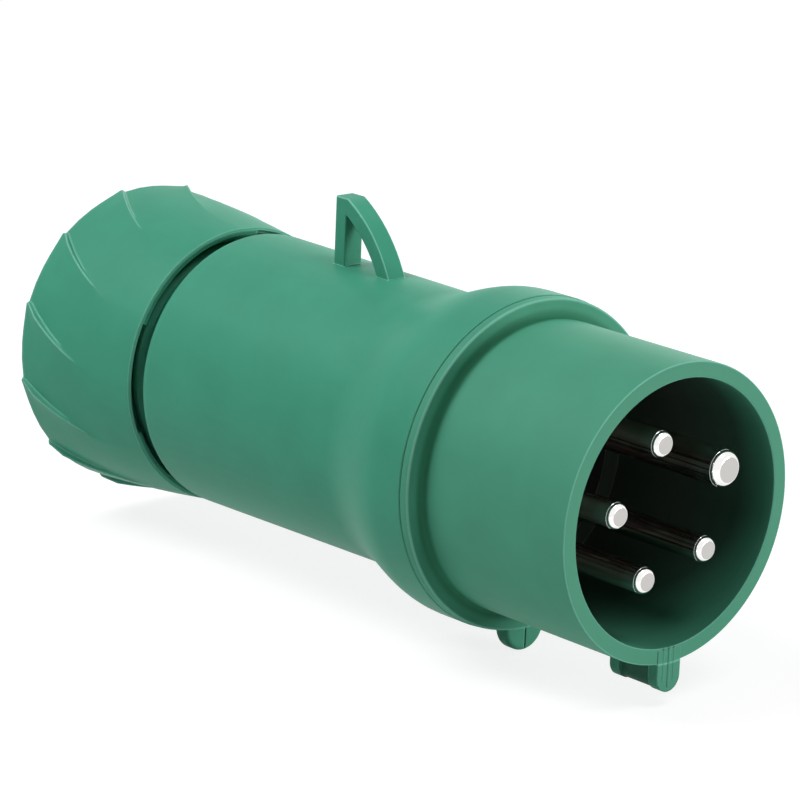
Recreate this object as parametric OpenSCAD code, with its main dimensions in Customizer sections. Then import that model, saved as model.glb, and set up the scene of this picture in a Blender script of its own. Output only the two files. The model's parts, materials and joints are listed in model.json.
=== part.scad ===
// Pin and sleeve plug with five contacts.
// The axis lies along X with the mouth's rim at X = 0, the cable end at -X and the key below.
// Every place along the axis is given as a distance behind the rim.

/* [Mouth sleeve] */
// Outer diameter of the shroud
shroud_d = 56; // [53:0.5:62]
// Wall of the shroud
shroud_wall = 3; // [2:0.25:3.5]
// Depth of the mouth, from the rim to the face of the insert
mouth_depth = 40; // [37:0.5:44]
// Rounding of the two edges of the rim
rim_round = 0.2; // [0.1:0.1:1]
// Distance from the rim to the front face of the collar
collar_at = 37; // [34:0.5:38]
// Thickness of the collar, from its front face to the seam
collar_t = 2; // [1.5:0.1:3]
// Step from the shroud out to the collar
collar_step = 3.7; // [3.2:0.1:5]
// Rounding of the collar's front edge
collar_round = 0.7; // [0.3:0.1:1]
// Chamfer on each side of the seam between sleeve and housing
seam_edge = 0.2; // [0.1:0.05:0.4]
// Fillet between the shroud and the collar
collar_fillet = 1; // [0.4:0.1:2]
// Length of the spigot that enters the housing
spigot_len = 11; // [10.5:0.5:12]
// Wall of the spigot
spigot_wall = 2.8; // [2.4:0.1:3.2]
// Length of the inner ledge that carries the insert
ledge_len = 5; // [4:0.5:6]

/* [Key and nib] */
// Width of the key under the mouth
key_w = 5.75; // [4:0.25:8]
// Length of the key along the shroud
key_len = 12; // [8:0.5:18]
// Reach of the key below the shroud
key_drop = 5.5; // [4.5:0.1:7]
// Depth of the pocket in each flank of the key
key_pocket = 0.9; // [0.3:0.1:1.4]
// Length of the full-width strip at each end of the key
key_strip = 2.2; // [1.2:0.1:3]
// How far the key stands out in front of the rim
key_proud = 0.1; // [0.05:0.05:0.5]
// Radius of the round nib on the collar
nib_r = 4.8; // [3:0.1:6]
// Thickness of the nib along the axis
nib_t = 3.5; // [3:0.1:6]
// How far the nib's face lies behind the collar's
nib_back = 0.4; // [0.2:0.1:1]
// Rounding of the nib's edges
nib_round = 0.9; // [0.3:0.1:1.2]
// Width of the groove down the face of the nib
nib_groove = 0.4; // [0.2:0.1:0.8]

/* [Contacts] */
// Diameter of the circle through the contacts
pitch_d = 26.4; // [26:0.1:28]
// Diameter of the phase and neutral pins
phase_d = 5; // [4:0.1:5.5]
// Diameter of the earth pin
earth_d = 7; // [6:0.1:7.4]
// How far the phase and neutral tips lie behind the rim
phase_recess = 1.2; // [0.8:0.1:6]
// How far the earth tip stands out in front of the rim
earth_proud = 1.3; // [0.2:0.1:1.6]
// Place of the earth pin, in degrees clockwise from the top, seen from the mouth
earth_clock = 60; // [30:30:330]
// Rounding of a phase or neutral pin's tip
tip_round = 0.9; // [0.4:0.1:1.4]
// Rounding of the earth pin's tip
earth_tip_round = 1.1; // [0.6:0.1:1.8]
// Wall of metal around the wire hole in a pin's rear end
barrel_wall = 1.9; // [1.5:0.1:2.4]
// Diameter of the wire hole in a phase pin
wire_d = 4.2; // [3.4:0.1:4.4]
// Diameter of the wire hole in the earth pin
earth_wire_d = 6; // [5:0.1:6.2]
// Depth of the wire hole
wire_depth = 11; // [9:0.5:13]
// Chamfer on the rim of a wire hole's end
barrel_chamfer = 0.4; // [0.2:0.1:0.5]
// Length of a pin's rear end behind the insert
barrel_len = 17; // [15:0.5:19]
// Step out to the thicker part of a pin that sits in the insert
seat_step = 0.3; // [0.1:0.1:0.5]
// Step out to the collar that stops a pin in the insert
stop_step = 0.8; // [0.5:0.1:1]
// Length of that collar
stop_len = 3; // [2:0.25:4]
// Diameter of a wire screw
screw_d = 3.5; // [3:0.1:3.6]
// Diameter of the earth wire screw
earth_screw_d = 4.5; // [4:0.1:4.6]

/* [Insert] */
// Length of the insert, from its face to the contact plate
insert_len = 16; // [14:0.5:18]
// Insulation kept outside the largest pin end
insert_margin = 3; // [2.5:0.1:3.4]
// Thickness of the insert's rim
insert_rim = 2.5; // [2:0.25:3]
// Thickness of the contact plate
plate_t = 3; // [2:0.25:4]
// Thickness of the five barriers between the wires
barrier_t = 1.6; // [1:0.1:2]
// Diameter of the centre screw
centre_screw_d = 4; // [3:0.1:4.2]
// Diameter of the screws through the insert's rim
rim_screw_d = 2.4; // [2:0.1:2.4]

/* [Rear housing] */
// Wall of the bell over the spigot
bell_wall = 2.6; // [2.4:0.1:3]
// Length of the bell at its full size, behind the seam
bell_flat = 6.5; // [5.5:0.1:8]
// Length of the blend from the bell to the body
bell_blend = 20; // [16:0.5:26]
// Diameter of the body just behind the bell
body_front_d = 54.2; // [52:0.1:56]
// Diameter of the body at the shoulder
body_rear_d = 55.3; // [54.5:0.1:56]
// Length of the housing, from the seam to the shoulder
body_len = 82.4; // [72:0.1:95]
// Wall of the body
body_wall = 2.6; // [2:0.1:3]
// Length of the solid end wall ahead of the shoulder
end_wall = 5; // [4:0.5:7]

/* [Eye] */
// Distance from the seam to the upright leg's rear face
eye_at = 54.3; // [48:0.1:60]
// Height of the eye above the body
eye_h = 13.3; // [10:0.1:16]
// Width of the eye across the axis
eye_w = 4.4; // [3:0.1:7]
// Width of the eye's band
eye_band = 3.1; // [2:0.1:3.6]
// Radius of the eye's outer curve
eye_curve_r = 28.6; // [27.6:0.1:31]
// How far the curve's centre lies behind the upright leg
eye_curve_back = 10.2; // [9:0.1:11.4]
// How far the curve's centre lies under the body's surface
eye_curve_drop = 11.8; // [11:0.1:12.6]

/* [Gland] */
// Diameter of the threaded neck
neck_d = 49.2; // [47:0.1:50]
// Length of the neck behind the shoulder
neck_len = 21.6; // [20:0.1:25]
// Wall of the neck
neck_wall = 3.6; // [3:0.1:4.2]
// Length of the grommet
seal_len = 11.4; // [9:0.2:13]
// Diameter of the cable hole in the grommet
cable_d = 14; // [10:0.5:18]
// Thickness of the slip washer
washer_t = 0.6; // [0.4:0.1:1]
// Thickness of the inner ledge that the grommet seats on
seat_t = 2; // [1.5:0.1:3]
// Width of that ledge
seat_w = 5.5; // [4:0.1:6.5]
// Thickness of the clamping cage's ring
cage_t = 2.5; // [2:0.1:3]
// Number of fingers on the clamping cage
fingers = 8; // [6:1:10]
// Length of the fingers
finger_len = 6.5; // [5.5:0.1:7.5]
// How far the fingers lean in over their length
finger_lean = 7.4; // [6:0.1:8]
// Thickness of a finger
finger_t = 2.6; // [2:0.1:3]
// Width of the slot between two fingers
finger_slot = 2.2; // [1.5:0.1:3]
// Length of the thrust ring
ring_len = 5; // [4:0.1:6]

/* [Nut] */
// Gap between the shoulder and the nut's front edge
nut_gap = 2.1; // [1:0.1:3]
// Diameter of the nut at its front edge
nut_front_d = 55.8; // [55.6:0.1:58]
// Diameter of the nut at its rear, between the ridges
nut_rear_d = 61.2; // [59:0.1:66]
// Thickness of the nut's rear wall
nut_back = 3.4; // [2.6:0.1:4.5]
// Diameter of the opening in the rear wall
nut_opening_d = 31; // [30:0.5:34]
// Chamfer on the nut's front edge
nut_edge = 0.4; // [0.2:0.1:0.5]
// Thickness of the lip around the nut's front edge
lip_wall = 1.3; // [1:0.1:1.5]
// Thickness left of the lip at a relief notch
notch_wall = 0.5; // [0.4:0.05:0.8]
// Rounding of the nut's rear edge
nut_round = 2.2; // [1:0.1:3]
// Bevel of the opening in the rear wall
nut_bevel = 1.2; // [0.6:0.1:1.5]
// Depth of the shallow dish in the rear face
dish_depth = 0.8; // [0.4:0.1:1]
// Width of the flat land between the opening and the dish
dish_land = 3; // [2:0.5:4]
// Width left between the dish and the nut's outer surface
dish_rim = 4.6; // [3:0.2:6]
// Number of swept ridges
ridges = 12; // [8:1:16]
// Greatest height of a ridge
ridge_h = 1.15; // [0.5:0.05:1.5]
// Angle that a ridge sweeps through on its way forward
ridge_sweep = 20; // [0:1:30]
// Angle by which the nut is turned on its thread, as stored
nut_turn = 11.4; // [0:0.2:15]
// Number of relief notches inside the front lip
notches = 3; // [2:1:4]
// Angle covered by one notch
notch_angle = 48; // [30:2:60]
// Lead of the thread
thread_lead = 4; // [3:0.5:5]
// Travel of the nut from here until the fingers grip
grip_travel = 2.5; // [2:0.1:3]

/* [Fits] */
// Clearance between pieces that stay together
fit_gap = 0.15; // [0.1:0.05:0.2]
// Radial clearance of a thread or a running fit
run_gap = 0.08; // [0.05:0.01:0.1]
// Clearance kept where a moving piece passes another
move_gap = 0.4; // [0.3:0.05:0.5]

/* [Hidden] */
$fn = 96;
eps = 0.01;
green = [0.27, 0.60, 0.47];
black = [0.10, 0.10, 0.11];
nickel = [0.80, 0.79, 0.76];
steel = [0.62, 0.63, 0.65];
rubber = [0.16, 0.16, 0.17];

// Radii of the sleeve and of what plugs into it
shroud_r = shroud_d / 2;
mouth_r = shroud_r - shroud_wall;
collar_r = shroud_r + collar_step;
bell_lap = 0.15;
bell_r = collar_r + bell_lap;
bell_in_r = collar_r - bell_wall;
spigot_r = bell_in_r - fit_gap;
spigot_in_r = spigot_r - spigot_wall;
// Places along the axis
seam_at = collar_at + collar_t;
spigot_end = seam_at + spigot_len;
nib_at = collar_at + nib_back;
ledge_end = mouth_depth + ledge_len;
insert_end = mouth_depth + insert_len;
plate_end = insert_end + plate_t;
body_end = seam_at + body_len;
neck_end = body_end + neck_len;
nut_at = body_end + nut_gap;
// Bayonet lugs on the spigot and the seal groove behind them
lug_count = 3;
lug_angle = 20;
lug_at = seam_at + 2;
lug_len = 2.5;
lug_h = 1.15;
lug_clock = 25;
lug_turn = 28;
groove_at = lug_at + lug_len + 2.4;
groove_len = 2.4;
groove_depth = 1.7;
seal_play = 0.1;
// Contacts
pitch_r = pitch_d / 2;
barrel_r = wire_d / 2 + barrel_wall;
earth_barrel_r = earth_wire_d / 2 + barrel_wall;
insert_r = pitch_r + earth_barrel_r + insert_margin;
stop_at = insert_end - stop_len;
barrel_end = insert_end + barrel_len;
screw_at = barrel_end - wire_depth / 2;
screw_head_h = 1.8;
screw_head_gap = 0.4;
screw_head_rim = 0.9;
slot_share = 0.32;
clip_t = 0.4;
clip_len = 8;
// Insert
rim_screw_r = (insert_r + spigot_in_r) / 2;
rim_screw_count = 3;
rim_screw_bite = 3.6;
rim_head_h = 1.5;
rim_head_r = (spigot_in_r - insert_r) / 2 - fit_gap;
hub_wall = 1.4;
centre_head_r = centre_screw_d / 2 + 1.1;
centre_head_h = 2.2;
centre_bite = 9;
// Housing
body_front_r = body_front_d / 2;
body_rear_r = body_rear_d / 2;
blend_from = seam_at + bell_flat;
blend_to = blend_from + bell_blend;
neck_r = neck_d / 2;
neck_in_r = neck_r - neck_wall;
neck_chamfer = 0.6;
bell_step = 0.5;
shoulder_r = body_rear_r - neck_r;
// Gland
seal_at = neck_end - washer_t - seal_len;
seal_chamfer = 1;
washer_step = 1.5;
cage_end = neck_end + cage_t;
cage_step = 1.1;
cage_r = neck_r - cage_step;
finger_root_r = neck_in_r;
finger_tip_r = finger_root_r - finger_lean;
finger_end = cage_end + finger_len;
ring_at = cage_end + grip_travel + move_gap;
ring_end = ring_at + ring_len;
ring_chamfer = 0.4;
chamber_r = neck_r + move_gap;
ring_r = chamber_r - move_gap + run_gap;
nut_front_r = nut_front_d / 2;
nut_rear_r = nut_rear_d / 2;
nut_in_end = ring_end + run_gap;
nut_end = nut_in_end + nut_back;
lip_r = nut_front_r - lip_wall;
lip_len = 2;
notch_from = 101;
front_recess = 3.8;
thread_relief = 1.5;
thread_to = neck_end - thread_relief;

// Smooth step from 0 to 1
function ease(t) = (1 - cos(180 * min(1, max(0, t)))) / 2;

// Outer radius of the housing at a distance behind the rim
function body_r(d) =
    d < blend_to
    ? bell_r + (body_front_r - bell_r) * ease((d - blend_from) / bell_blend)
    : body_front_r + (body_rear_r - body_front_r) * (d - blend_to) / (body_end - blend_to);

// Revolves a list of [distance behind the rim, radius] about the axis
module lathe(profile, turn = 360)
    rotate([0, -90, 0])
        rotate_extrude(angle = turn)
            polygon([for (p = profile) [p[1], p[0]]]);

// Plain disc or bar from one distance to another
module bar(from, to, r)
    translate([-from, 0, 0]) rotate([0, -90, 0]) cylinder(h = to - from, r = r);

// Carries a shape out to a radius at a clock angle, seen from the mouth
module at_clock(clock, r)
    rotate([-clock, 0, 0]) translate([0, 0, r]) children();

// Points of a rounded corner, for a profile
function corner(cd, cr, r, from, turn, steps = 4) =
    [for (i = [0 : steps]) let (a = from + turn * i / steps) [cd + r * cos(a), cr + r * sin(a)]];

// Shroud, collar, spigot and ledge as one turned shape
module sleeve_shape() {
    lathe(concat(
        corner(rim_round, shroud_r - rim_round, rim_round, 180, -90),
        corner(collar_at - collar_fillet, shroud_r + collar_fillet, collar_fillet, 270, 90),
        corner(collar_at + collar_round, collar_r - collar_round, collar_round, 180, -90),
        [[seam_at - seam_edge, collar_r], [seam_at, collar_r - seam_edge], [seam_at, spigot_r],
         [groove_at, spigot_r], [groove_at, spigot_r - groove_depth],
         [groove_at + groove_len, spigot_r - groove_depth], [groove_at + groove_len, spigot_r],
         [spigot_end, spigot_r], [spigot_end, spigot_in_r],
         [ledge_end, spigot_in_r], [ledge_end, insert_r + fit_gap],
         [mouth_depth, insert_r + fit_gap], [mouth_depth, mouth_r]],
        corner(rim_round, mouth_r + rim_round, rim_round, 270, -90)));
}

// Section of the key, round below, with a given half width and reach
module key_section(half, low) {
    translate([0, -(low - half)]) circle(r = half, $fn = 48);
    translate([-half, -(low - half)]) square([2 * half, low - half - mouth_r - shroud_wall / 2]);
}

// Sets a section across the axis, drawn as Y and Z, from one distance to another
module across(from, to)
    translate([-to, 0, 0]) rotate([90, 0, 90]) linear_extrude(to - from) children();

module key() {
    low = shroud_r + key_drop;
    across(key_strip / 2, key_len - key_strip / 2)
        key_section(key_w / 2 - key_pocket, low - key_pocket / 8);
    across(-key_proud, key_strip) key_section(key_w / 2, low);
    across(key_len - key_strip, key_len) key_section(key_w / 2, low);
    // Tongue that carries the key's face up across the rim
    across(-key_proud, key_strip)
        translate([-key_w / 2, -(shroud_r + eps)]) square([key_w, shroud_wall - 0.3]);
}

module nib() {
    r = nib_round;
    difference() {
        translate([0, 0, -collar_r + 0.3])
            lathe(concat([[nib_at, 0]],
                         corner(nib_at + r, nib_r - r, r, 180, -90),
                         corner(nib_at + nib_t - r, nib_r - r, r, 90, -90),
                         [[nib_at + nib_t, 0]]));
        // The part behind the seam rides over the bell
        bar(seam_at, seam_at + 2 * nib_t, body_r(seam_at) + fit_gap);
        translate([-nib_at - nib_groove, -nib_groove / 2, -collar_r - nib_r])
            cube([2 * nib_groove, nib_groove, nib_r]);
    }
}

module mouth_sleeve() color(green) {
    difference() {
        union() {
            sleeve_shape();
            key();
            nib();
            for (i = [0 : lug_count - 1])
                rotate([-(lug_clock + i * 360 / lug_count), 0, 0])
                    lathe([[lug_at, spigot_r - 1], [lug_at + lug_len, spigot_r - 1],
                           [lug_at + lug_len, spigot_r + lug_h], [lug_at, spigot_r + lug_h]],
                          lug_angle);
        }
        for (i = [0 : rim_screw_count - 1])
            at_clock(rim_screw_clock(i), rim_screw_r)
                bar(ledge_end - rim_screw_bite - 0.4, ledge_end + eps, rim_screw_d / 2 + 0.05);
    }
}

// The rim screws sit between the contacts
function rim_screw_clock(i) = earth_clock + 36 + i * 144;

// Bayonet way inside the bell for one lug
module lug_way() {
    play = 2;
    top = spigot_r + lug_h + fit_gap;
    low = bell_in_r - 1;
    // Groove that the lug turns along
    rotate([play, 0, 0])
        lathe([[lug_at - fit_gap, low], [lug_at + lug_len + 0.3, low],
               [lug_at + lug_len + 0.3, top], [lug_at - fit_gap, top]],
              lug_angle + lug_turn + 2 * play);
    // Mouth that the lug enters by, a little deeper and short of the groove's end
    rotate([-lug_turn, 0, 0])
        lathe([[seam_at - 1, low - 0.5], [lug_at + lug_len / 2, low - 0.5],
               [lug_at + lug_len / 2, top + 0.1], [seam_at - 1, top + 0.1]],
              lug_angle + play / 2);
}

// Outline of the eye in the X-Z plane, before its window is cut
module eye_outline(rear, r) {
    base = body_r(seam_at + eye_at);
    intersection() {
        translate([-(seam_at + eye_at + eye_curve_back), base - eye_curve_drop]) circle(r = r);
        translate([-rear, base - body_wall / 2])
            square([2 * r, eye_h + body_wall / 2]);
    }
}

module eye()
    translate([0, eye_w / 2, 0]) rotate([90, 0, 0]) linear_extrude(eye_w)
        difference() {
            eye_outline(seam_at + eye_at, eye_curve_r);
            eye_outline(seam_at + eye_at - eye_band, eye_curve_r - eye_band);
        }

module rear_housing() color(green) {
    steps = 12;
    blend_out = [for (i = [0 : steps]) let (d = blend_from + bell_blend * i / steps) [d, body_r(d)]];
    inner_from = spigot_end + bell_step;
    blend_in = [for (i = [steps : -1 : 0])
        let (d = inner_from + (blend_to - inner_from) * i / steps) [d, body_r(d) - body_wall]];
    wall_from = body_end - end_wall;
    difference() {
        union() {
            lathe(concat(
                [[seam_at, body_r(seam_at) - seam_edge], [seam_at + seam_edge, body_r(seam_at)]],
                blend_out,
                corner(body_end - shoulder_r, neck_r, shoulder_r, 90, -90, 6),
                [[neck_end - neck_chamfer, neck_r], [neck_end, neck_r - neck_chamfer],
                 [neck_end, neck_in_r],
                 [seal_at, neck_in_r], [seal_at, neck_in_r - seat_w],
                 [seal_at - seat_t, neck_in_r - seat_w], [seal_at - seat_t, neck_in_r],
                 [wall_from, neck_in_r],
                 [wall_from - (body_r(wall_from) - body_wall - neck_in_r) / 2,
                  body_r(wall_from) - body_wall]],
                blend_in,
                [[inner_from, bell_in_r], [seam_at, bell_in_r]]));
            eye();
        }
        for (i = [0 : lug_count - 1])
            rotate([-(lug_clock + i * 360 / lug_count), 0, 0]) lug_way();
    }
}

module joint_seal() color(rubber) {
    low = spigot_r - groove_depth;
    high = bell_in_r - seal_play / 2;
    from = groove_at + seal_play;
    to = groove_at + groove_len - seal_play;
    r = (to - from) / 4;
    lathe([[from, low], [to, low], [to, high - r], [to - r, high], [from + r, high],
           [from, high - r]]);
}

// Clock angles of the contacts, earth first and then clockwise
function contact_clock(i) = earth_clock + i * 72;
function pin_r(i) = (i == 0 ? earth_d : phase_d) / 2;
function pin_barrel_r(i) = i == 0 ? earth_barrel_r : barrel_r;
function pin_wire_r(i) = (i == 0 ? earth_wire_d : wire_d) / 2;
function pin_recess(i) = i == 0 ? -earth_proud : phase_recess;
function pin_tip_round(i) = i == 0 ? earth_tip_round : tip_round;
function pin_screw_r(i) = (i == 0 ? earth_screw_d : screw_d) / 2;

module pin_carrier() color(black) {
    difference() {
        lathe([[mouth_depth, 0], [mouth_depth, insert_r], [ledge_end, insert_r],
               [ledge_end, spigot_in_r - fit_gap], [ledge_end + insert_rim, spigot_in_r - fit_gap],
               [ledge_end + insert_rim, insert_r], [insert_end, insert_r], [insert_end, 0]]);
        for (i = [0 : 4]) at_clock(contact_clock(i), pitch_r) {
            bar(mouth_depth - 1, insert_end + 1, pin_r(i) + seat_step + run_gap / 2);
            bar(stop_at, insert_end + 1, pin_barrel_r(i) + stop_step + fit_gap);
        }
        for (i = [0 : rim_screw_count - 1])
            at_clock(rim_screw_clock(i), rim_screw_r)
                bar(ledge_end - 1, ledge_end + insert_rim + 1, rim_screw_d / 2 + fit_gap);
        bar(insert_end - centre_bite - 0.5, insert_end + 1, centre_screw_d / 2 + 0.05);
    }
}

module contact_plate() color(black) {
    hub_r = centre_head_r + fit_gap + hub_wall;
    root_r = hub_r - hub_wall / 2;
    difference() {
        union() {
            bar(insert_end, plate_end, insert_r);
            bar(insert_end, barrel_end - 1, hub_r);
            for (i = [0 : 4]) rotate([-(contact_clock(i) + 36), 0, 0])
                translate([-barrel_end, -barrier_t / 2, root_r])
                    cube([barrel_end - insert_end, barrier_t, insert_r - root_r - 0.3]);
        }
        for (i = [0 : 4]) at_clock(contact_clock(i), pitch_r)
            bar(insert_end - 1, plate_end + 1, pin_barrel_r(i) + fit_gap);
        bar(insert_end - 1, plate_end + 1, centre_screw_d / 2 + fit_gap);
        bar(plate_end, barrel_end + 1, centre_head_r + fit_gap);
    }
}

// One contact: round tip, shank, stop collar and rear end with its wire and screw holes
module contact(i) color(nickel)
    at_clock(contact_clock(i), pitch_r) difference() {
        r = pin_r(i);
        tip = pin_recess(i);
        round = pin_tip_round(i);
        lathe(concat(
            [[tip, 0]],
            corner(tip + round, r - round, round, 180, -90, 5),
            [[mouth_depth, r], [mouth_depth, r + seat_step],
             [stop_at, r + seat_step], [stop_at, pin_barrel_r(i) + stop_step],
             [insert_end, pin_barrel_r(i) + stop_step], [insert_end, pin_barrel_r(i)],
             [barrel_end - barrel_chamfer, pin_barrel_r(i)],
             [barrel_end, pin_barrel_r(i) - barrel_chamfer],
             [barrel_end, 0]]));
        bar(barrel_end - wire_depth, barrel_end + 1, pin_wire_r(i));
        translate([-screw_at, 0, 0]) cylinder(h = 2 * pin_barrel_r(i), r = pin_screw_r(i) + 0.05);
    }

module phase_pin_1() contact(1);
module phase_pin_2() contact(2);
module phase_pin_3() contact(3);
module neutral_pin() contact(4);
module earth_pin() contact(0);

// Height of the pressure leaf's outer face above the contact's own axis
function clip_top(i) = pin_wire_r(i) * 0.84;

// Round screw head with its slot, standing on the X-Y plane
module slotted_head(r, h)
    difference() {
        cylinder(h = h, r = r);
        translate([-2 * r, -slot_share * r / 2, h / 2]) cube([4 * r, slot_share * r, h]);
    }

// Slotted wire screw that points at the contact's axis
module wire_screw(i) color(steel)
    at_clock(contact_clock(i), pitch_r) translate([-screw_at, 0, 0]) {
        r = pin_screw_r(i);
        seat = pin_barrel_r(i) + screw_head_gap;
        translate([0, 0, clip_top(i)]) cylinder(h = seat - clip_top(i) + eps, r = r);
        translate([0, 0, seat]) slotted_head(r + screw_head_rim, screw_head_h);
    }

module terminal_screws() for (i = [1 : 4]) wire_screw(i);
module earth_screw() wire_screw(0);

module wire_clips() color(nickel)
    for (i = [0 : 4]) at_clock(contact_clock(i), pitch_r) {
        half = sqrt(pow(pin_wire_r(i), 2) - pow(clip_top(i), 2)) - 0.02;
        translate([-barrel_end, -half, clip_top(i) - clip_t]) cube([clip_len, 2 * half, clip_t]);
    }

module carrier_screws() color(steel)
    for (i = [0 : rim_screw_count - 1]) at_clock(rim_screw_clock(i), rim_screw_r) {
        seat = ledge_end + insert_rim;
        bar(ledge_end - rim_screw_bite, seat + eps, rim_screw_d / 2);
        translate([-seat, 0, 0]) rotate([0, -90, 0]) slotted_head(rim_head_r, rim_head_h);
    }

module centre_screw() color(steel) {
    bar(insert_end - centre_bite, plate_end + eps, centre_screw_d / 2);
    translate([-plate_end, 0, 0]) rotate([0, -90, 0]) slotted_head(centre_head_r, centre_head_h);
}

module cable_seal() color(rubber) {
    outer = neck_in_r - fit_gap;
    hole = cable_d / 2;
    lathe([[seal_at, hole], [seal_at, outer - seal_chamfer], [seal_at + seal_chamfer, outer],
           [seal_at + seal_len, outer], [seal_at + seal_len, hole]]);
}

module slip_washer() color(steel)
    lathe([[neck_end - washer_t, cable_d / 2 + washer_step],
           [neck_end - washer_t, neck_in_r - fit_gap],
           [neck_end, neck_in_r - fit_gap], [neck_end, cable_d / 2 + washer_step]]);

module clamp_cage() color(black)
    difference() {
        lathe([[neck_end, finger_root_r - finger_t - 2], [neck_end, cage_r], [cage_end, cage_r],
               [cage_end, finger_root_r], [finger_end, finger_tip_r],
               [finger_end, finger_tip_r - finger_t], [cage_end, finger_root_r - finger_t]]);
        for (i = [0 : fingers - 1]) rotate([-(i + 0.5) * 360 / fingers, 0, 0])
            translate([-finger_end - 1, -finger_slot / 2, 0])
                cube([finger_len + 1, finger_slot, finger_root_r + 1]);
    }

// Radius of the cone inside the thrust ring, parallel to the fingers
function ring_cone_r(d) = finger_root_r - finger_lean * (d - ring_at) / finger_len;

module thrust_ring() color(black)
    lathe([[ring_at, ring_cone_r(ring_at)], [ring_at, ring_r - ring_chamfer],
           [ring_at + ring_chamfer, ring_r],
           [ring_end, ring_r], [ring_end, ring_cone_r(ring_end)]]);

// Shares of the nut's length at which its ridges start to rise and stand highest
ridge_from = 0.32;
ridge_full = 0.85;
// Share of that height left where the rear edge's rounding starts
ridge_end = 0.55;
// How quickly a ridge falls away behind its crest
ridge_fall = 6;

// Outer radius of the nut between its ridges, for a share of its length
function nut_r(t) = nut_front_r + (nut_rear_r - nut_front_r) * (1 - pow(1 - t, 1.6));

// Rings of the nut's outer surface: distance, radius and share of the ridge height
nut_len = nut_end - nut_at;
nut_rings = concat(
    [[nut_at, nut_front_r - nut_edge, 0], [nut_at + nut_edge, nut_r(nut_edge / nut_len), 0]],
    [for (t = [0.08 : 0.07 : ridge_full + eps])
        [nut_at + t * nut_len, nut_r(t), max(0, (t - ridge_from) / (ridge_full - ridge_from))]],
    [for (a = [90 : -15 : 0])
        [nut_end - nut_round + nut_round * cos(a),
         nut_r(1 - nut_round / nut_len) - nut_round * (1 - sin(a)),
         ridge_end * sqrt(sin(a))]]);
// Angles within one ridge, from its crest to the foot of the next
ridge_steps = [0, 0.04, 0.09, 0.15, 0.23, 0.34, 0.5, 0.72, 0.97];

// Swept angle of a ridge's crest at a distance behind the rim
function sweep(d) =
    let (t = min(1, max(0, (nut_end - nut_round - d) / (0.75 * nut_len))))
    ridge_sweep * (1 - pow(1 - t, 1.6));

// Closed outer surface of the nut, with swept ridges steep on one side
module nut_outside() {
    pitch = 360 / ridges;
    count = ridges * len(ridge_steps);
    points = [for (ring = nut_rings) for (k = [0 : count - 1])
        let (s = ridge_steps[k % len(ridge_steps)],
             turn = nut_turn + floor(k / len(ridge_steps)) * pitch + s * pitch + sweep(ring[0]),
             rise = s > 0.9 ? 0 : pow(1 - s, ridge_fall),
             r = ring[1] + ridge_h * ring[2] * rise)
        [-ring[0], -r * sin(turn), r * cos(turn)]];
    last = len(nut_rings) - 1;
    sides = [for (j = [0 : last - 1]) for (k = [0 : count - 1])
        let (a = j * count + k, b = j * count + (k + 1) % count)
        each [[a, b, a + count], [b, b + count, a + count]]];
    polyhedron(points, concat(
        sides,
        [[for (k = [count - 1 : -1 : 0]) k]],
        [[for (k = [0 : count - 1]) last * count + k]]));
}

module gland_nut() color(green)
    difference() {
        nut_outside();
        // Front lip and the room behind it
        bar(nut_at - 1, nut_at + front_recess, lip_r);
        // Thread, as its running bore
        bar(nut_at, nut_in_end, neck_r + run_gap);
        // Room for the neck's end and the thrust ring
        bar(thread_to, nut_in_end, chamber_r);
        // Cable opening with an eased edge
        lathe([[nut_in_end - 1, 0], [nut_in_end - 1, nut_opening_d / 2],
               [nut_end - nut_bevel, nut_opening_d / 2],
               [nut_end + eps, nut_opening_d / 2 + nut_bevel + eps], [nut_end + eps, 0]]);
        // Shallow dish in the rear face
        lathe([[nut_end - dish_depth, nut_opening_d / 2 + dish_land],
               [nut_end - dish_depth, nut_rear_r - dish_rim - dish_depth / 2],
               [nut_end + dish_depth, nut_rear_r - dish_rim + dish_depth / 2],
               [nut_end + dish_depth, nut_opening_d / 2 + dish_land]]);
        // Relief notches inside the lip
        for (i = [0 : notches - 1])
            rotate([nut_turn + notch_from + i * 360 / notches, 0, 0])
                lathe([[nut_at - 1, lip_r - 2], [nut_at + lip_len, lip_r - 2],
                       [nut_at + lip_len, nut_front_r - notch_wall],
                       [nut_at - 1, nut_front_r - notch_wall]], notch_angle);
    }

mouth_sleeve();
rear_housing();
joint_seal();
pin_carrier();
contact_plate();
phase_pin_1();
phase_pin_2();
phase_pin_3();
neutral_pin();
earth_pin();
terminal_screws();
earth_screw();
wire_clips();
carrier_screws();
centre_screw();
cable_seal();
slip_washer();
clamp_cage();
thrust_ring();
gland_nut();
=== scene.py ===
import json
import math

import bpy
from mathutils import Matrix, Vector


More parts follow.
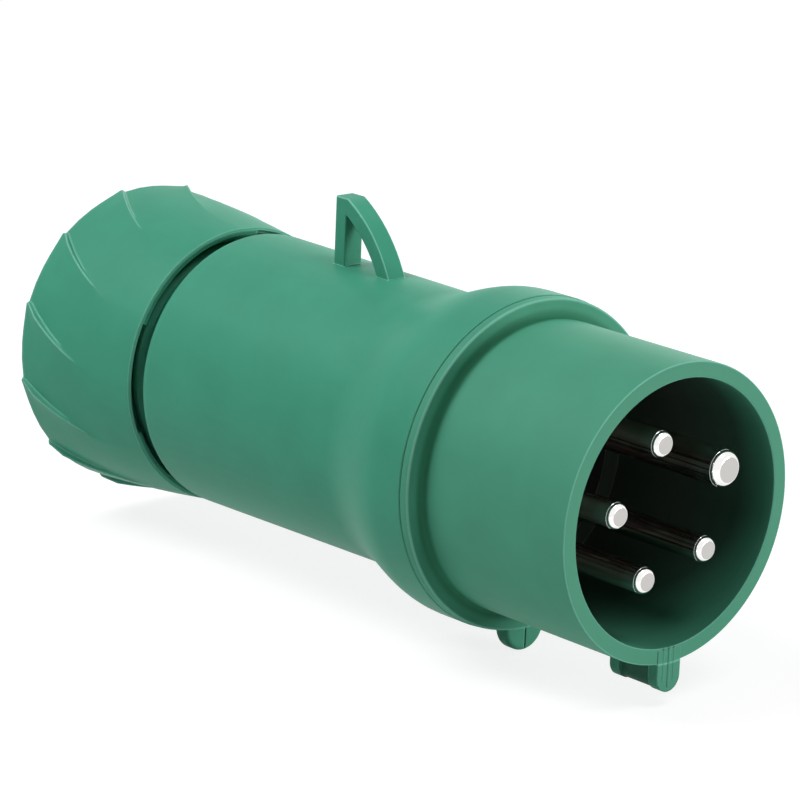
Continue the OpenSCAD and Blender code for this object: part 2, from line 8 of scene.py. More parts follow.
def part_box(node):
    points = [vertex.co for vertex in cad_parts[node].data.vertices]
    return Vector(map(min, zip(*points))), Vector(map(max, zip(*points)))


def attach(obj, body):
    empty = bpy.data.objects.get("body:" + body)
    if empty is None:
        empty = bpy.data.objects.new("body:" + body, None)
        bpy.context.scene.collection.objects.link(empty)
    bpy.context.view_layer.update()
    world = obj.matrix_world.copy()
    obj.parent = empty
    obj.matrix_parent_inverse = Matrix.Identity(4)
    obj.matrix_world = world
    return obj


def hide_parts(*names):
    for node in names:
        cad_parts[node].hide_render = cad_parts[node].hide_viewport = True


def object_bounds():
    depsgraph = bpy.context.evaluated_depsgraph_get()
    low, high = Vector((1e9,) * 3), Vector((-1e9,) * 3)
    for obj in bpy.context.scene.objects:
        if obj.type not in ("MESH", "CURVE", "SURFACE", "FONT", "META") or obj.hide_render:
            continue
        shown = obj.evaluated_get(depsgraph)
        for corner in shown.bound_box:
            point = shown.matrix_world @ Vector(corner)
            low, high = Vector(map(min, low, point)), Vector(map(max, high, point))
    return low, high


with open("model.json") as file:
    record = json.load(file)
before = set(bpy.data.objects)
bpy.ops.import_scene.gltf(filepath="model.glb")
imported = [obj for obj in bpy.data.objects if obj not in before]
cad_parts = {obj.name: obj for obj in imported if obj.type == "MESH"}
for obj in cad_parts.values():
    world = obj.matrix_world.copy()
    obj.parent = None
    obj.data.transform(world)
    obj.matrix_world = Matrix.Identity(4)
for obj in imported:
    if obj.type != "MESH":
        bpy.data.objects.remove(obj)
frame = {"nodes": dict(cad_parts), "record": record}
cad_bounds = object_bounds()
nodes = frame["nodes"]

# The photograph's view. The plug is seen from above its mouth, to the side of the axis, through
# a long lens. The camera leans about two degrees, so the plug dips towards its mouth.
VIEW_AZIMUTH = math.radians(-42.0)
VIEW_ELEVATION = math.radians(15.28)
VIEW_ROLL = math.radians(2.29)
VIEW_PLACE = Vector((0.47416, -0.49452, 0.20570))
VIEW_LENS_MM = 180.0
VIEW_SENSOR_MM = 36.0
VIEW_NEAREST = 0.01

view_ahead = -Vector((math.cos(VIEW_ELEVATION) * math.cos(VIEW_AZIMUTH),
                      math.cos(VIEW_ELEVATION) * math.sin(VIEW_AZIMUTH),
                      math.sin(VIEW_ELEVATION)))
level_right = view_ahead.cross(Vector((0, 0, 1))).normalized()
level_up = level_right.cross(view_ahead)
view_right = math.cos(VIEW_ROLL) * level_right + math.sin(VIEW_ROLL) * level_up
view_up = math.cos(VIEW_ROLL) * level_up - math.sin(VIEW_ROLL) * level_right

bpy.ops.object.camera_add(location=VIEW_PLACE)
camera = bpy.context.object
camera.name = "photo_camera"
camera.rotation_euler = Matrix((view_right, view_up, -view_ahead)).transposed().to_euler()
camera.data.sensor_width = VIEW_SENSOR_MM
camera.data.sensor_fit = "HORIZONTAL"
camera.data.lens = VIEW_LENS_MM
camera.data.clip_start = VIEW_NEAREST
bpy.context.scene.camera = camera
bpy.context.scene.view_settings.view_transform = "Standard"

# The white table. The photograph shows the plug on pure white, so the paper glows to the camera
# and to reflections only, keeps the plug's faint shadow and throws its light back from below.
TABLE_SPAN = 1.2
TABLE_DROP = 0.0002
TABLE_SHADE = 0.80
TABLE_SEEN = 0.30
TABLE_GLOW = 0.82


def white_to_the_eye(tree, plain, bright):
    """Mixes two shaders: the bright one for the camera and reflections, the plain one for light."""
    rays = tree.nodes.new("ShaderNodeLightPath")
    seen = rays.outputs["Is Camera Ray"]
    for ray in ("Is Glossy Ray", "Is Transmission Ray"):
        also = tree.nodes.new("ShaderNodeMath")
        also.operation = "MAXIMUM"
        tree.links.new(seen, also.inputs[0])
        tree.links.new(rays.outputs[ray], also.inputs[1])
        seen = also.outputs[0]
    pick = tree.nodes.new("ShaderNodeMixShader")
    tree.links.new(seen, pick.inputs["Fac"])
    tree.links.new(plain.outputs[0], pick.inputs[1])
    tree.links.new(bright.outputs[0], pick.inputs[2])
    return pick.outputs[0]


bpy.ops.mesh.primitive_plane_add(size=TABLE_SPAN, location=(0, 0, cad_bounds[0][2] - TABLE_DROP))
table = bpy.context.object
table.name = "white_table"
bpy.ops.object.transform_apply(location=True, rotation=True, scale=True)
table_white = bpy.data.materials.new("white_table")
table_white.use_nodes = True
tree = table_white.node_tree
tree.nodes.clear()
paper = tree.nodes.new("ShaderNodeBsdfDiffuse")
paper.inputs["Color"].default_value = (TABLE_SHADE, TABLE_SHADE, TABLE_SHADE, 1)
seen_paper = tree.nodes.new("ShaderNodeBsdfDiffuse")
seen_paper.inputs["Color"].default_value = (TABLE_SEEN, TABLE_SEEN, TABLE_SEEN, 1)
glow = tree.nodes.new("ShaderNodeEmission")
glow.inputs["Strength"].default_value = TABLE_GLOW
bright_paper = tree.nodes.new("ShaderNodeAddShader")
tree.links.new(seen_paper.outputs[0], bright_paper.inputs[0])
tree.links.new(glow.outputs[0], bright_paper.inputs[1])
out = tree.nodes.new("ShaderNodeOutputMaterial")
tree.links.new(white_to_the_eye(tree, paper, bright_paper), out.inputs["Surface"])
table.data.materials.append(table_white)

# The white room and its four lamps. A wide soft box hangs behind the mouth on the near side, and
# a smaller one before it lights the mouth's floor. One stands low ahead of the mouth on its far
# side, so it lights the rim and leaves the wall that shows dark, and a weak one fills the back.
ROOM_FILL = 0.04
PLUG_MIDDLE = Vector((-0.07, 0, 0))
LAMP_DISTANCE = 0.9
PLAIN_LIGHT = (math.pi * LAMP_DISTANCE) ** 2

# Each lamp is its name, its direction from the plug, its width and its share of the light in
# which a colour looks plain
LAMPS = (
    ("lamp_above", (-0.35, -0.50, 0.80), 0.5, 0.84),
    ("lamp_over_mouth", (0.45, 0.10, 0.88), 0.35, 0.30),
    ("lamp_before_mouth", (0.85, 0.50, 0.08), 0.3, 0.70),
    ("lamp_behind", (-0.40, 0.85, 0.35), 0.5, 0.25))

world = bpy.data.worlds.new("white_room")
bpy.context.scene.world = world
world.use_nodes = True
tree = world.node_tree
tree.nodes.clear()
room_fill = tree.nodes.new("ShaderNodeBackground")
room_fill.inputs["Color"].default_value = (1, 1, 1, 1)
room_fill.inputs["Strength"].default_value = ROOM_FILL
room_seen = tree.nodes.new("ShaderNodeBackground")
room_seen.inputs["Color"].default_value = (1, 1, 1, 1)
out = tree.nodes.new("ShaderNodeOutputWorld")
tree.links.new(white_to_the_eye(tree, room_fill, room_seen), out.inputs["Surface"])

for name, towards, width, share in LAMPS:
    direction = Vector(towards).normalized()
    bpy.ops.object.light_add(type="AREA", location=PLUG_MIDDLE + LAMP_DISTANCE * direction)
    lamp = bpy.context.object
    lamp.name = name
    lamp.data.shape = "SQUARE"
    lamp.data.size = width
    lamp.data.energy = share * PLAIN_LIGHT
    lamp.rotation_euler = direction.to_track_quat("Z", "Y").to_euler()

# Mouth sleeve: the keyed shroud that slides over the connector's face. It is moulded in one shot
# of satin green polyamide with its collar, key and nib, and a bayonet turns it into the housing.
GREEN_SHROUD = (0.068, 0.292, 0.190)
# The paler green is painted highlight, laid along edges and lines
GREEN_EDGE_HIGHLIGHT = (0.22, 0.56, 0.43)
TONE_STOPS = ((0.3, 0.955), (0.7, 1.045))
EDGE_SAMPLES = 8
EDGE_HIGHLIGHT_SHARE = 0.8
MERGE_WITHIN = 0.000002
FLAT_WITHIN = math.radians(0.4)
SMOOTH_UNDER = math.radians(38)


def merged_copy(node_name, name):
    """A copy of a CAD piece as one clean skin, smooth across its rounded edges."""
    bpy.ops.object.select_all(action="DESELECT")
    piece = bpy.data.objects.new(name, nodes[node_name].data.copy())
    bpy.context.scene.collection.objects.link(piece)
    bpy.context.view_layer.objects.active = piece
    piece.select_set(True)
    bpy.ops.object.mode_set(mode="EDIT")
    bpy.ops.mesh.select_all(action="SELECT")
    bpy.ops.mesh.remove_doubles(threshold=MERGE_WITHIN)
    bpy.ops.mesh.customdata_custom_splitnormals_clear()
    bpy.ops.mesh.dissolve_limited(angle_limit=FLAT_WITHIN)
    bpy.ops.object.mode_set(mode="OBJECT")
    bpy.ops.object.shade_smooth_by_angle(angle=SMOOTH_UNDER)
    return piece


def stand_in(piece, node_name, body, finish):
    """Lets a finished piece stand for its CAD node, on its body and in its material."""
    even = piece.modifiers.new("even_normals", "WEIGHTED_NORMAL")
    even.keep_sharp = True
    bpy.context.view_layer.objects.active = piece
    bpy.ops.object.modifier_apply(modifier=even.name)
    piece.data.materials.clear()
    piece.data.materials.append(finish)
    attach(piece, body)
    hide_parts(node_name)


def effect_group(name, inputs, outputs):
    """An empty shader group: its inputs are numbers, and each output has its kind."""
    group = bpy.data.node_groups.new(name, "ShaderNodeTree")
    for label, value in inputs:
        socket = group.interface.new_socket(label, in_out="INPUT", socket_type="NodeSocketFloat")
        socket.default_value = value
    for label, kind in outputs:
        group.interface.new_socket(label, in_out="OUTPUT", socket_type="NodeSocket" + kind)
    return group, group.nodes.new("NodeGroupInput"), group.nodes.new("NodeGroupOutput")


def math_node(tree, operation, first, second=0.0, clamp=False):
    """A Math node on two values or sockets."""
    node = tree.nodes.new("ShaderNodeMath")
    node.operation = operation
    node.use_clamp = clamp
    for socket, value in zip(node.inputs, (first, second)):
        if isinstance(value, (int, float)):
            socket.default_value = value
        else:
            tree.links.new(value, socket)
    return node.outputs[0]


def masked(tree, *conditions):
    """A mask that is one where all conditions hold: a comparison, a value and a limit each."""
    mask = None
    for operation, value, limit in conditions:
        holds = math_node(tree, operation, value, limit)
        mask = holds if mask is None else math_node(tree, "MULTIPLY", mask, holds)
    return mask


def distance(tree, first, second):
    """The distance that two distances at right angles to each other add up to."""
    squares = [math_node(tree, "MULTIPLY", side, side) for side in (first, second)]
    return math_node(tree, "SQRT", math_node(tree, "ADD", *squares))


def ranged(tree, value, from_range, to_range=(0.0, 1.0), smooth=False):
    """A value taken from one range to another, and held at its ends."""
    node = tree.nodes.new("ShaderNodeMapRange")
    if smooth:
        node.interpolation_type = "SMOOTHSTEP"
    for label, number in zip(("From Min", "From Max", "To Min", "To Max"), from_range + to_range):
        node.inputs[label].default_value = number
    tree.links.new(value, node.inputs["Value"])
    return node.outputs["Result"]


def graded(tree, value, stops):
    """A colour that runs through the shades of the stops as the value rises."""
    ramp = tree.nodes.new("ShaderNodeValToRGB")
    elements = ramp.color_ramp.elements
    while len(elements) < len(stops):
        elements.new(0.5)
    for element, (at, shade) in zip(elements, stops):
        element.position = at
        element.color = (*shade, 1)
    tree.links.new(value, ramp.inputs["Fac"])
    return ramp.outputs["Color"]


def mixed(tree, mask, under, over, blend="MIX"):
    """One colour over another where the mask is one. Each is a socket or three numbers."""
    node = tree.nodes.new("ShaderNodeMix")
    node.data_type = "RGBA"
    node.blend_type = blend
    tree.links.new(mask, node.inputs["Factor"])
    for socket, colour in ((node.inputs["A"], under), (node.inputs["B"], over)):
        if isinstance(colour, tuple):
            socket.default_value = (*colour, 1)
        else:
            tree.links.new(colour, socket)
    return node.outputs["Result"]


def on_axes(tree, kind):
    """The X, Y and Z of the piece's own coordinates (Object) or of its facing (Normal)."""
    own = tree.nodes.new("ShaderNodeTexCoord")
    split = tree.nodes.new("ShaderNodeSeparateXYZ")
    tree.links.new(own.outputs[kind], split.inputs["Vector"])
    return split.outputs


def noise(tree, per_metre, detail, roughness=0.5):
    """Noise on the piece's own coordinates, with its size as features per metre."""
    node = tree.nodes.new("ShaderNodeTexNoise")
    node.inputs["Detail"].default_value = detail
    node.inputs["Roughness"].default_value = roughness
    if isinstance(per_metre, (int, float)):
        node.inputs["Scale"].default_value = per_metre
    else:
        tree.links.new(per_metre, node.inputs["Scale"])
    own = tree.nodes.new("ShaderNodeTexCoord")
    tree.links.new(own.outputs["Object"], node.inputs["Vector"])
    return node.outputs["Fac"]


# Fine spark-eroded grain and the faint broad mottle of the melt
moulded_grain, group_in, group_out = effect_group(
    "moulded_grain",
    [("Grain per metre", 4000.0), ("Mottle per metre", 90.0)],
    [("Height", "Float"), ("Mottle", "Float")])
fine = noise(moulded_grain, group_in.outputs["Grain per metre"], detail=2.0, roughness=0.6)
broad = noise(moulded_grain, group_in.outputs["Mottle per metre"], detail=3.0, roughness=0.55)
moulded_grain.links.new(fine, group_out.inputs["Height"])
moulded_grain.links.new(broad, group_out.inputs["Mottle"])

# Edges that the mould leaves round, as a softened normal and as a mask for a painted highlight
# along them
soft_edge, group_in, group_out = effect_group(
    "soft_edge", [("Radius", 0.0003), ("Gain", 5.0)], [("Edge", "Float"), ("Normal", "Vector")])
rounded = soft_edge.nodes.new("ShaderNodeBevel")
rounded.samples = EDGE_SAMPLES
soft_edge.links.new(group_in.outputs["Radius"], rounded.inputs["Radius"])
flat = soft_edge.nodes.new("ShaderNodeNewGeometry")
turned = soft_edge.nodes.new("ShaderNodeVectorMath")
turned.operation = "DOT_PRODUCT"
soft_edge.links.new(rounded.outputs["Normal"], turned.inputs[0])
soft_edge.links.new(flat.outputs["Normal"], turned.inputs[1])
near_edge = math_node(soft_edge, "SUBTRACT", 1.0, turned.outputs["Value"], clamp=True)
near_edge = math_node(soft_edge, "MULTIPLY", near_edge, group_in.outputs["Gain"], clamp=True)
soft_edge.links.new(near_edge, group_out.inputs["Edge"])
soft_edge.links.new(rounded.outputs["Normal"], group_out.inputs["Normal"])


def moulded_plastic(name, shade, edge_highlight_shade, roughness, grain_depth, edge_radius, specular,
                    edge_gain=5.0):
    """Moulded plastic with grain, mottle, softened edges and a painted highlight along them."""
    finish = bpy.data.materials.new(name)
    finish.use_nodes = True
    tree = finish.node_tree
    shader = tree.nodes["Principled BSDF"]
    grain = tree.nodes.new("ShaderNodeGroup")
    grain.node_tree = moulded_grain
    edge = tree.nodes.new("ShaderNodeGroup")
    edge.node_tree = soft_edge
    edge.inputs["Radius"].default_value = edge_radius
    edge.inputs["Gain"].default_value = edge_gain
    mottle = grain.outputs["Mottle"]
    tones = [(at, [gain * part for part in shade]) for at, gain in TONE_STOPS]
    # The edges are painted a lighter shade: a painted highlight
    edge_highlight = math_node(tree, "MULTIPLY", edge.outputs["Edge"], EDGE_HIGHLIGHT_SHARE)
    colour = mixed(tree, edge_highlight, graded(tree, mottle, tones), edge_highlight_shade)
    tree.links.new(colour, shader.inputs["Base Color"])
    gloss = ranged(tree, mottle, (0.0, 1.0), roughness)
    tree.links.new(gloss, shader.inputs["Roughness"])
    bump = tree.nodes.new("ShaderNodeBump")
    bump.inputs["Distance"].default_value = grain_depth
    tree.links.new(grain.outputs["Height"], bump.inputs["Height"])
    tree.links.new(edge.outputs["Normal"], bump.inputs["Normal"])
    tree.links.new(bump.outputs["Normal"], shader.inputs["Normal"])
    shader.inputs["Specular IOR Level"].default_value = specular
    return finish


green_shroud = moulded_plastic(
    "green_shroud", GREEN_SHROUD, GREEN_EDGE_HIGHLIGHT, roughness=(0.50, 0.58), grain_depth=0.000008,
    edge_radius=0.0004, specular=0.08)
tree = green_shroud.node_tree
shroud_shader = tree.nodes["Principled BSDF"]
colour = shroud_shader.inputs["Base Color"].links[0].from_socket
spot = on_axes(tree, "Object")
facing = on_axes(tree, "Normal")
from_axis = distance(tree, spot["Y"], spot["Z"])

# Painted shade: the rim's face is a little deeper in colour than the skin behind it
GREEN_RIM_SHADED = (0.068, 0.262, 0.172)
RIM_FACING = 0.97
RIM_BACK = -0.001

rim_face_shade = masked(
    tree, ("GREATER_THAN", facing["X"], RIM_FACING), ("GREATER_THAN", spot["X"], RIM_BACK))
colour = mixed(tree, rim_face_shade, colour, GREEN_RIM_SHADED)

# The mouth's wall is painted with shade that gets dark and then grey towards the insert, later
# along the floor than along the sides. Each stop is a share of the way in and the shade there.
MOUTH_RADIUS = 0.025
MOUTH_DEPTH = 0.040
WALL_MARGIN = 0.00015
SHADE_HEIGHTS = (-MOUTH_RADIUS, -0.4 * MOUTH_RADIUS)
SHADE_PACES = (0.5, 1.6)
MOUTH_PAINTED_SHADE = (
    (0.0, (0.85, 0.85, 0.85)), (0.10, (0.55, 0.55, 0.55)), (0.35, (0.38, 0.24, 0.26)),
    (0.95, (0.72, 0.25, 0.30)))

wall = masked(tree, ("LESS_THAN", from_axis, MOUTH_RADIUS + WALL_MARGIN))
mouth_shade_depth = math_node(tree, "DIVIDE", spot["X"], -MOUTH_DEPTH)
pace = ranged(tree, spot["Z"], SHADE_HEIGHTS, SHADE_PACES)
mouth_shade_depth = math_node(tree, "MULTIPLY", mouth_shade_depth, pace, clamp=True)
colour = mixed(tree, wall, colour, graded(tree, mouth_shade_depth, MOUTH_PAINTED_SHADE), "MULTIPLY")

# Painted shadow darkens the fillet at the collar's root
ROOT_X = -0.0370
ROOT_RADIUS = 0.0280
ROOT_REACH = (0.0021, 0.0004)
ROOT_PAINTED_SHADOW = (0.42, 0.60, 0.50)

from_root = distance(tree, math_node(tree, "SUBTRACT", spot["X"], ROOT_X),
                     math_node(tree, "SUBTRACT", from_axis, ROOT_RADIUS))
root = ranged(tree, from_root, ROOT_REACH, smooth=True)
colour = mixed(tree, root, colour, ROOT_PAINTED_SHADOW, "MULTIPLY")

# The key's two hollows, beside its web and between its front strip and its end, get painted shade
# too
KEY_LENGTH = 0.012
KEY_STRIP = 0.0022
KEY_WEB = 0.0021
KEY_MARGIN = 0.0001
KEY_CLEAR = 0.0002
KEY_PAINTED_SHADE = (0.60, 0.50, 0.50)

key_hollow_shade = masked(
    tree, ("LESS_THAN", math_node(tree, "ABSOLUTE", spot["Y"]), KEY_WEB),
    ("LESS_THAN", spot["Z"], -ROOT_RADIUS - KEY_CLEAR),
    ("LESS_THAN", spot["X"], KEY_MARGIN - KEY_STRIP),
    ("GREATER_THAN", spot["X"], KEY_STRIP - KEY_LENGTH - KEY_MARGIN))
colour = mixed(tree, key_hollow_shade, colour, KEY_PAINTED_SHADE, "MULTIPLY")

# Painted highlights lie as pale lines on the rim's two edges and the collar's crest. Each ring is
# its place along the axis, its radius and how far the line reaches.
PAINTED_HIGHLIGHT_RINGS = ((0.0, 0.0280, 0.00030), (0.0, 0.0250, 0.00018), (-0.0372, 0.0315, 0.00040))
RING_CORE = 0.3
HIGHLIGHT_SHARE = 0.6

for ring_x, ring_radius, reach in PAINTED_HIGHLIGHT_RINGS:
    away = distance(tree, math_node(tree, "SUBTRACT", spot["X"], ring_x),
                    math_node(tree, "SUBTRACT", from_axis, ring_radius))
    ring = ranged(tree, away, (reach, RING_CORE * reach), (0.0, HIGHLIGHT_SHARE), smooth=True)
    colour = mixed(tree, ring, colour, GREEN_EDGE_HIGHLIGHT)
tree.links.new(colour, shroud_shader.inputs["Base Color"])

# The mould's parting lines stand up the key's face and across the rim. Each is its place across
# the key, its width and its height.
SEAMS = ((0.0, 0.00055, 0.00009), (-0.0014, 0.00030, 0.00004), (0.0012, 0.00030, 0.00004))
SEAM_FOOT = 0.0009
SEAM_ROUND = 0.6

sleeve = merged_copy("mouth_sleeve", "keyed_sleeve")
sleeve_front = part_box("mouth_sleeve")[1][0]
key_low = min(v.co.z for v in sleeve.data.vertices if v.co.x > -KEY_LENGTH)
for seam_y, width, height in SEAMS:
    foot = key_low + SEAM_FOOT + abs(seam_y)
    bpy.ops.object.select_all(action="DESELECT")
    bpy.ops.mesh.primitive_cube_add(
        size=1, location=(sleeve_front, seam_y, (foot - MOUTH_RADIUS) / 2),
        scale=(2 * height, width, -MOUTH_RADIUS - foot))
    seam = bpy.context.object
    bpy.ops.object.transform_apply(location=True, rotation=True, scale=True)
    bpy.ops.object.mode_set(mode="EDIT")
    bpy.ops.mesh.select_all(action="SELECT")
    bpy.ops.mesh.bevel(offset=SEAM_ROUND * height, segments=2, affect="EDGES")
    bpy.ops.object.mode_set(mode="OBJECT")
    bpy.ops.object.shade_smooth_by_angle(angle=SMOOTH_UNDER)
    bpy.ops.object.select_all(action="DESELECT")
    seam.select_set(True)
    sleeve.select_set(True)
    bpy.context.view_layer.objects.active = sleeve
    bpy.ops.object.join()
stand_in(sleeve, "mouth_sleeve", "plug_body", green_shroud)

# Rear housing: the bell, body, eye and neck, moulded in one piece of the same green polyamide.
# The neck's right-hand thread is moulded with it, and runs out before the shoulder and the tip.
GREEN = (0.050, 0.285, 0.185)
THREAD_LEAD = 2 * math.pi * frame["record"]["behaviour"]["couplings"][0]["ratio"]
THREAD_DEPTH = 0.0010
THREAD_FADE = 0.0022
THREAD_MEAN = 0.5
THREAD_SWING = 0.9
THREAD_ROWS = 64
NECK_FROM = -0.1423
NECK_TO = -0.1215
NECK_MARGIN = 0.0002
NECK_EDGE_LENGTH = 0.015
ON_NECK = 0.00002
NEAR_NECK = 0.0001

green_polyamide = moulded_plastic(
    "green_polyamide", GREEN, GREEN_EDGE_HIGHLIGHT, roughness=(0.42, 0.50), grain_depth=0.000008,
    edge_radius=0.0004, specular=0.10)
housing = merged_copy("rear_housing", "threaded_housing")
skin = housing.data


def select_edges(mesh, chosen):
    """Leaves exactly the chosen edges of a mesh selected, with their ends."""
    ends = {v for edge in chosen for v in edge.vertices}
    for vertex in mesh.vertices:
        vertex.select = vertex.index in ends
    for face in mesh.polygons:
        face.select = False
    keys = {edge.index for edge in chosen}
    for edge in mesh.edges:
        edge.select = edge.index in keys


def off_axis(point):
    """How far a point stands from the plug's axis."""
    return math.hypot(point.y, point.z)


# The neck's long edges are cut into rows, which are then pressed in along the helix. Edge mode
# comes first, or the short edges between their ends would be cut as well.
neck_radius = max(off_axis(v.co) for v in skin.vertices if v.co.x < NECK_TO)
long_edges = []
for edge in skin.edges:
    first, last = (skin.vertices[v].co for v in edge.vertices)
    on_neck = all(abs(off_axis(end) - neck_radius) < ON_NECK for end in (first, last))
    is_long = abs(first.x - last.x) > NECK_EDGE_LENGTH
    if on_neck and is_long and first.x < NECK_TO + NECK_MARGIN:
        long_edges.append(edge)
select_edges(skin, long_edges)
bpy.context.tool_settings.mesh_select_mode = (False, True, False)
bpy.ops.object.mode_set(mode="EDIT")
bpy.ops.mesh.subdivide(number_cuts=THREAD_ROWS, quadcorner="INNERVERT")
bpy.ops.object.mode_set(mode="OBJECT")
for vertex in skin.vertices:
    point = vertex.co
    radius = off_axis(point)
    if NECK_FROM < point.x < NECK_TO and abs(radius - neck_radius) < NEAR_NECK:
        turn = math.atan2(point.z, point.y)
        wave = THREAD_MEAN - THREAD_SWING * math.cos(2 * math.pi * point.x / THREAD_LEAD - turn)
        runout = min(1.0, (point.x - NECK_FROM) / THREAD_FADE, (NECK_TO - point.x) / THREAD_FADE)
        pressed = 1 - THREAD_DEPTH * runout * min(1.0, max(0.0, wave)) / radius
        point.y *= pressed
        point.z *= pressed

# The eye's outline is rounded on both of its sides, and the rounding gets a paler painted
# highlight where it looks up
EYE_SIDE = (0.00210, 0.00231)
EYE_SIDE_FACING = 0.99
EYE_LOW = 0.0284
EYE_ROUND = 0.00026
HIGHLIGHT_FACING = 0.2
GREEN_EYE_HIGHLIGHT = (0.155, 0.47, 0.345)

eye_edge_highlight = moulded_plastic(
    "eye_edge_highlight", GREEN_EYE_HIGHLIGHT, GREEN_EDGE_HIGHLIGHT, roughness=(0.36, 0.44), grain_depth=0.000004,
    edge_radius=0.0002, specular=0.20)
eye_edges = set()
for face in skin.polygons:
    faces_sideways = abs(face.normal.y) > EYE_SIDE_FACING and face.center.z > EYE_LOW
    if faces_sideways and EYE_SIDE[0] < abs(face.center.y) < EYE_SIDE[1]:
        eye_edges.update(face.edge_keys)
outline = [e for e in skin.edges if tuple(sorted(e.vertices)) in eye_edges
           and max(skin.vertices[v].co.z for v in e.vertices) > EYE_LOW]
select_edges(skin, outline)
bpy.ops.object.mode_set(mode="EDIT")
bpy.ops.mesh.bevel(offset=EYE_ROUND, segments=3, affect="EDGES", clamp_overlap=True)
bpy.ops.object.mode_set(mode="OBJECT")
rounded_faces = [face.index for face in skin.polygons if face.select]
bpy.ops.object.shade_smooth_by_angle(angle=SMOOTH_UNDER)
stand_in(housing, "rear_housing", "plug_body", green_polyamide)
skin.materials.append(eye_edge_highlight)
for index in rounded_faces:
    if skin.polygons[index].normal.z > HIGHLIGHT_FACING:
        skin.polygons[index].material_index = 1

# Gland nut: a deep ring in the same green with twelve swept ridges for the fingers. It screws
# onto the neck and drives the thrust ring against the clamping fingers.
# Its ridges' edges get a stronger painted highlight than the housing's
green_nut = moulded_plastic(
    "green_nut", GREEN, GREEN_EDGE_HIGHLIGHT, roughness=(0.42, 0.50), grain_depth=0.000008,
    edge_radius=0.0007, specular=0.10, edge_gain=11.0)
nut = merged_copy("gland_nut", "ridged_nut")
stand_in(nut, "gland_nut", "nut_body", green_nut)

# Insert and contact plate: the black block that holds the contacts, with its rear plate and
# barriers. They are pressed from thermoset, duller than the shell, and three screws hold them.
BLACK = (0.0125, 0.0135, 0.0125)
# The paler black is painted highlight along the edges
BLACK_EDGE_HIGHLIGHT = (0.030, 0.031, 0.032)


def wear(node_names, finish):
    """Puts a finish on the whole of some CAD nodes."""
    for node_name in node_names:
        materials = nodes[node_name].data.materials
        materials.clear()
        materials.append(finish)


black_thermoset = moulded_plastic(
    "black_thermoset", BLACK, BLACK_EDGE_HIGHLIGHT, roughness=(0.45, 0.60), grain_depth=0.000010,
    edge_radius=0.0002, specular=0.3)
wear(("pin_carrier", "contact_plate"), black_thermoset)

# Contacts: brass pins turned on a lathe and plated with bright nickel. Their ends are faced flat
# and rounded over, and a collar behind the insert's face keeps each from pulling out.
NICKEL_DARK = (0.88, 0.87, 0.85)
NICKEL_LIGHT = (0.95, 0.945, 0.935)
NICKEL_FACED_REFLECTION = (0.54, 0.525, 0.505)
FACED_FACING = 0.996
SHANK_SHADE_SPAN = (-0.0025, -0.0060)
SHANK_PAINTED_SHADE = (0.78, 0.64, 0.60)
LATHE_SCALE = 900.0
LATHE_WANDER = 1.5
LATHE_DEPTH = 0.0000015


def plated_metal(name, dark, light, patches_per_metre, detail, roughness):
    """Plated metal, with patches in which the tone and the gloss change together."""
    finish = bpy.data.materials.new(name)
    finish.use_nodes = True
    tree = finish.node_tree
    shader = tree.nodes["Principled BSDF"]
    shader.inputs["Metallic"].default_value = 1.0
    patches = noise(tree, patches_per_metre, detail)
    tone = graded(tree, patches, ((0.0, dark), (1.0, light)))
    tree.links.new(tone, shader.inputs["Base Color"])
    gloss = ranged(tree, patches, (0.0, 1.0), roughness)
    tree.links.new(gloss, shader.inputs["Roughness"])
    return finish


nickel = plated_metal(
    "nickel_plating", NICKEL_DARK, NICKEL_LIGHT, patches_per_metre=220.0, detail=3.0,
    roughness=(0.06, 0.14))
tree = nickel.node_tree
nickel_shader = tree.nodes["Principled BSDF"]
colour = nickel_shader.inputs["Base Color"].links[0].from_socket
# Painted reflection: the faced flat is greyer than the rounding, as if it mirrored a duller floor
faced = masked(tree, ("GREATER_THAN", on_axes(tree, "Normal")["X"], FACED_FACING))
colour = mixed(tree, faced, colour, NICKEL_FACED_REFLECTION)
# Painted shade: the shanks get darker inside the mouth
inside = ranged(tree, on_axes(tree, "Object")["X"], SHANK_SHADE_SPAN)
colour = mixed(tree, inside, colour, SHANK_PAINTED_SHADE, "MULTIPLY")
tree.links.new(colour, nickel_shader.inputs["Base Color"])
own = tree.nodes.new("ShaderNodeTexCoord")
lathe_rings = tree.nodes.new("ShaderNodeTexWave")
lathe_rings.wave_type = "BANDS"
lathe_rings.bands_direction = "X"
lathe_rings.inputs["Scale"].default_value = LATHE_SCALE
lathe_rings.inputs["Distortion"].default_value = LATHE_WANDER
tree.links.new(own.outputs["Object"], lathe_rings.inputs["Vector"])
bump = tree.nodes.new("ShaderNodeBump")
bump.inputs["Distance"].default_value = LATHE_DEPTH
tree.links.new(lathe_rings.outputs["Fac"], bump.inputs["Height"])
tree.links.new(bump.outputs["Normal"], nickel_shader.inputs["Normal"])

# Each pin's end is turned again, from behind to the front: a fine step, a short land and a
# rounding up to the faced flat. The rounding is a share of the pin's radius, and a little deeper.
TIP_SHARE = 0.33
TIP_DEPTH = 1.3
TIP_STEP = 0.00003
TIP_LAND = 0.00003
TIP_LEAD = 0.0004
TIP_SWEEP = math.radians(68)
TIP_POINTS = 9
TIP_REGION = 0.005
TIP_SMOOTH_UNDER = math.radians(30)
CUT_WITHIN = 0.000001

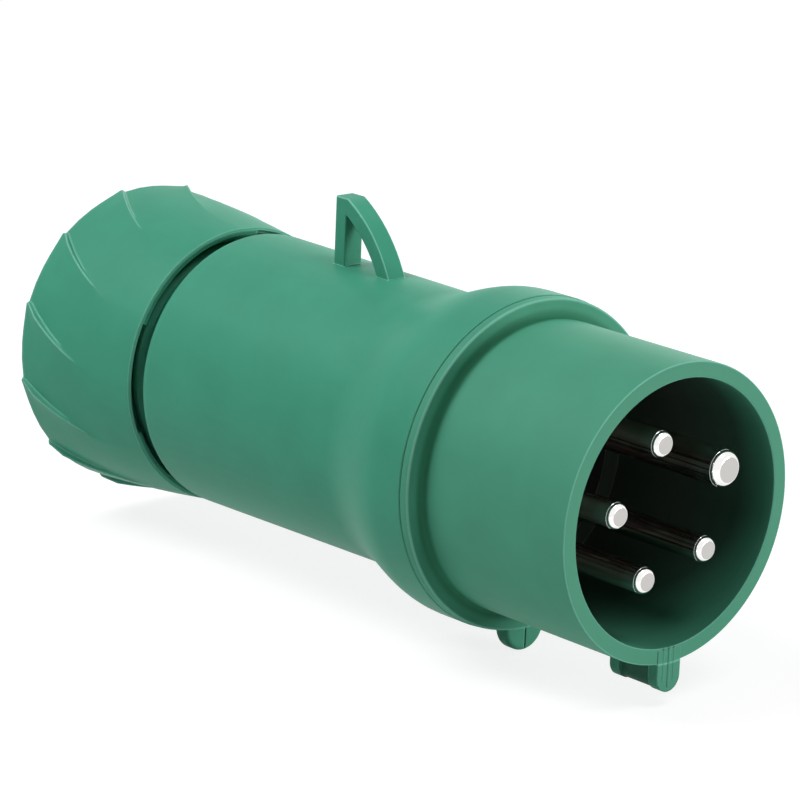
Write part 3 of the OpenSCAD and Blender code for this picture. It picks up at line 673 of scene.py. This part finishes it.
for contact in ("phase_pin_1", "phase_pin_2", "phase_pin_3", "neutral_pin", "earth_pin"):
    pin = merged_copy(contact, "plated_" + contact)
    low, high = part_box(contact)
    tip = high[0]
    axis = ((low[1] + high[1]) / 2, (low[2] + high[2]) / 2)
    pin_radius = max(math.hypot(v.co.y - axis[0], v.co.z - axis[1]) for v in pin.data.vertices
                     if v.co.x > tip - TIP_REGION)

    # Each point of the profile is how far it stands behind the tip and inside the pin's skin
    rounding = TIP_SHARE * pin_radius
    land_front = TIP_DEPTH * rounding
    land_back = land_front + TIP_LAND
    profile = [(land_back + TIP_LEAD, 0.0), (land_back + TIP_STEP, 0.0),
               (land_back, TIP_STEP), (land_front, TIP_STEP)]
    for point in range(1, TIP_POINTS + 1):
        angle = TIP_SWEEP * point / TIP_POINTS
        level = 1 - math.sin(angle) / math.sin(TIP_SWEEP)
        fall = (1 - math.cos(angle)) / (1 - math.cos(TIP_SWEEP))
        profile.append((land_front * level, TIP_STEP + (rounding - TIP_STEP) * fall))

    bpy.ops.object.mode_set(mode="EDIT")
    bpy.ops.mesh.select_all(action="SELECT")
    back, drop = profile[0]
    bpy.ops.mesh.bisect(plane_co=(tip - back, 0, 0), plane_no=(1, 0, 0), clear_outer=True,
                        threshold=CUT_WITHIN)
    for next_back, next_drop in profile[1:]:
        forward = back - next_back
        shrink = (pin_radius - next_drop) / (pin_radius - drop)
        back, drop = next_back, next_drop
        bpy.ops.mesh.extrude_region_move(TRANSFORM_OT_translate={"value": (forward, 0, 0)})
        bpy.ops.transform.resize(value=(1, shrink, shrink), center_override=(0, *axis))
    bpy.ops.mesh.edge_face_add()
    bpy.ops.mesh.select_all(action="SELECT")
    bpy.ops.mesh.normals_make_consistent(inside=False)
    bpy.ops.object.mode_set(mode="OBJECT")
    bpy.ops.object.shade_smooth_by_angle(angle=TIP_SMOOTH_UNDER)
    stand_in(pin, contact, "plug_body", nickel)

# Screws, pressure leaves and slip washer: zinc-plated steel, with the dull grey bloom of the
# plating. The screws clamp the wires through the leaves and hold the insert in the sleeve.
ZINC_DARK = (0.42, 0.43, 0.45)
ZINC_LIGHT = (0.62, 0.63, 0.65)

zinc = plated_metal(
    "zinc_plating", ZINC_DARK, ZINC_LIGHT, patches_per_metre=700.0, detail=4.0,
    roughness=(0.25, 0.42))
wear(("terminal_screws", "earth_screw", "wire_clips", "carrier_screws", "centre_screw",
      "slip_washer"), zinc)

# Seals: the joint ring between sleeve and housing and the grommet in the neck. Both are moulded
# in black rubber with a matt skin, and the nut squeezes the grommet round the cable.
RUBBER = (0.022, 0.022, 0.024)
# The paler rubber shade is painted highlight along the edges
RUBBER_EDGE_HIGHLIGHT = (0.05, 0.05, 0.052)

seal_rubber = moulded_plastic(
    "seal_rubber", RUBBER, RUBBER_EDGE_HIGHLIGHT, roughness=(0.70, 0.85), grain_depth=0.00002,
    edge_radius=0.0003, specular=0.3)
wear(("joint_seal", "cable_seal"), seal_rubber)

# Clamping cage and thrust ring: the ring of eight fingers that grips the cable, and the coned
# ring that the nut drives over them. Both are moulded in black plastic, finished as the insert.
wear(("clamp_cage", "thrust_ring"), black_thermoset)
